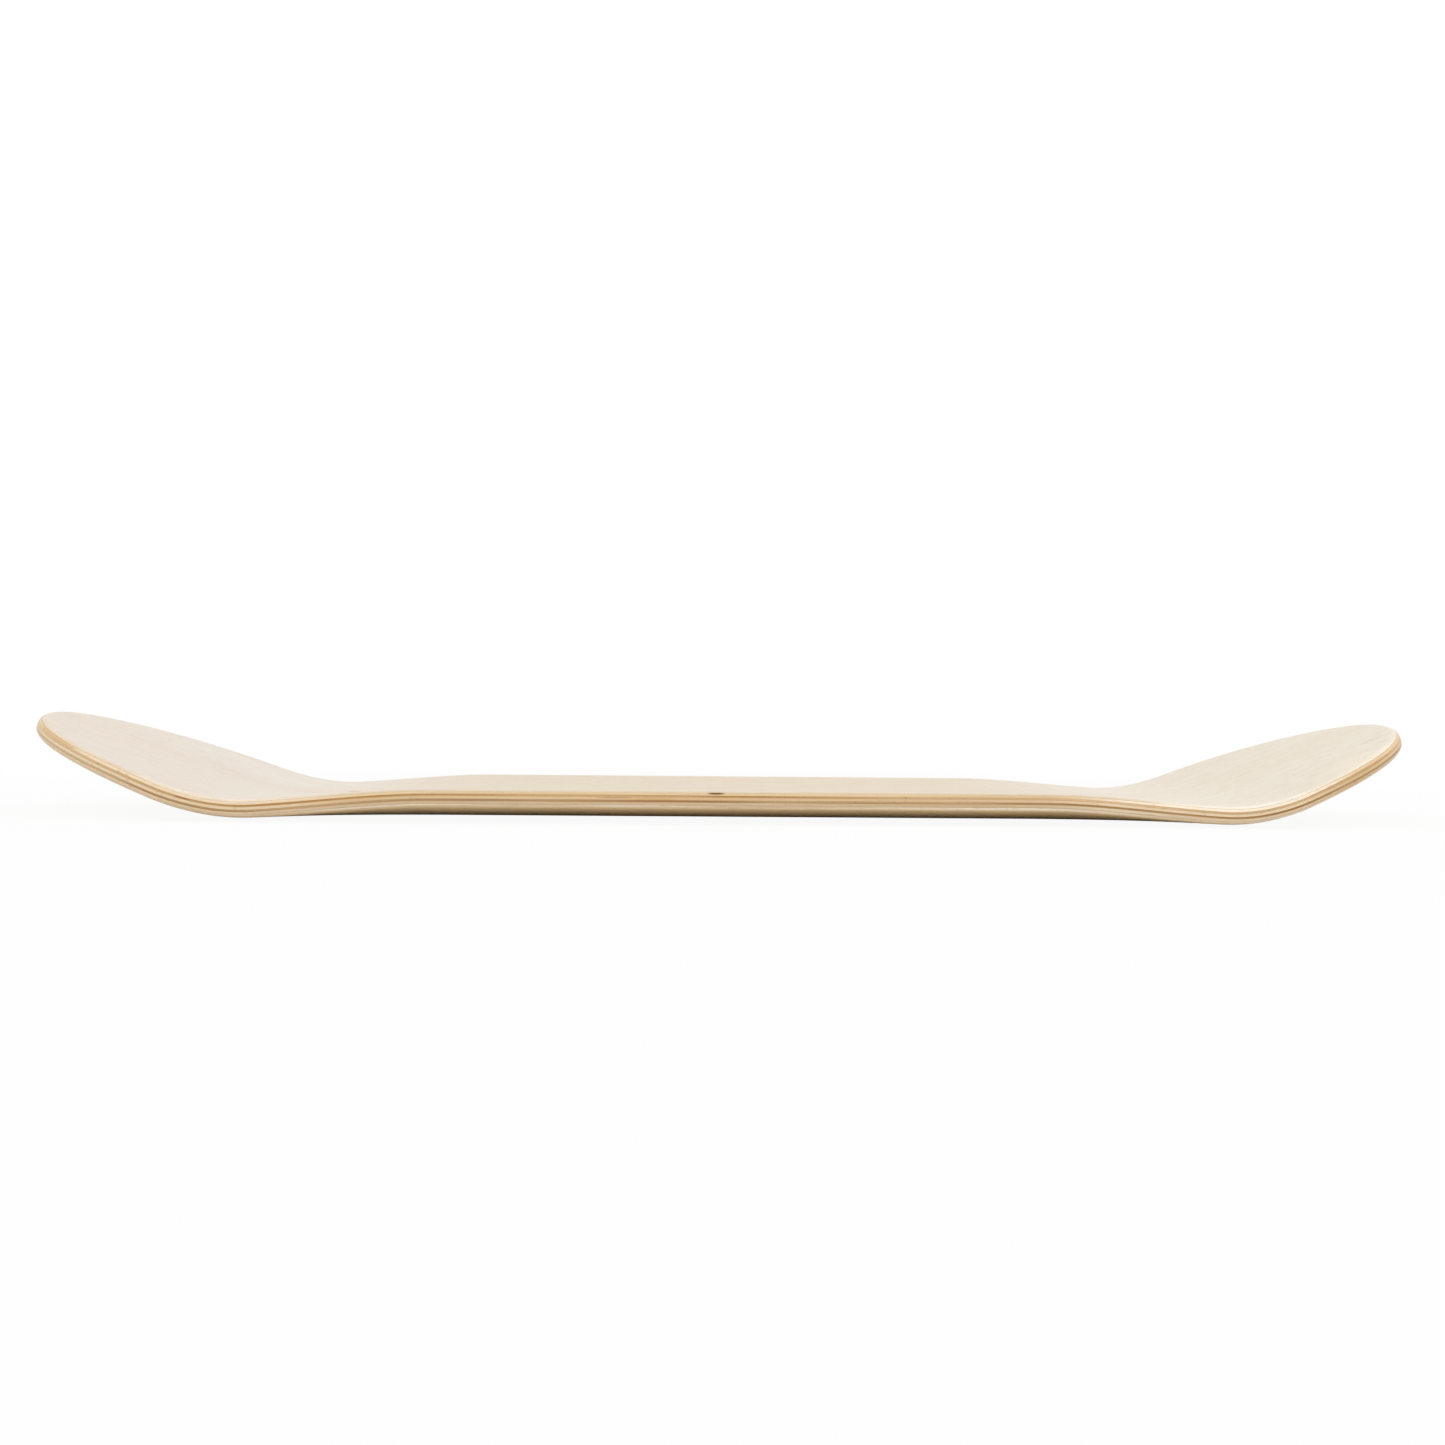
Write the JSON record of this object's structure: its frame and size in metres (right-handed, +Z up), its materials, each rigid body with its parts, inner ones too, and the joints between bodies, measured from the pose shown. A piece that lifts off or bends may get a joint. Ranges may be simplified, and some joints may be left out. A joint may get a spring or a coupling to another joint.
{
  "type": "skateboard deck",
  "caption": "Bare laminated maple skateboard deck with a kicked nose and tail, a rising concave, rounded edges and countersunk truck bolt holes.",
  "frame": {"origin": "On the flat underside, on the centre line, midway between the two trucks", "axes": "+X runs from the nose to the tail, +Y from rail to rail, +Z up out of the top face"},
  "size_m": [0.8075, 0.2024, 0.0571],
  "materials": {
    "maple_face": "pale hard maple, sanded smooth, with a thin satin sealer",
    "maple_long_grain": "maple veneer whose grain runs from nose to tail, sanded at the edge",
    "maple_cross_grain": "maple veneer whose grain runs from rail to rail, with darker end grain at the rails",
    "glue": "hardened wood glue, a thin amber line at the edge"
  },
  "bodies": {
    "root": {"ply_1_top_face": "maple_face", "ply_2_long": "maple_long_grain", "ply_3_cross": "maple_cross_grain", "ply_4_long": "maple_long_grain", "ply_5_cross": "maple_cross_grain", "ply_6_long": "maple_long_grain", "ply_7_bottom_face": "maple_face", "glue_film_1_to_2": "glue", "glue_film_2_to_3": "glue", "glue_film_3_to_4": "glue", "glue_film_4_to_5": "glue", "glue_film_5_to_6": "glue", "glue_film_6_to_7": "glue"}
  },
  "joints": []
}
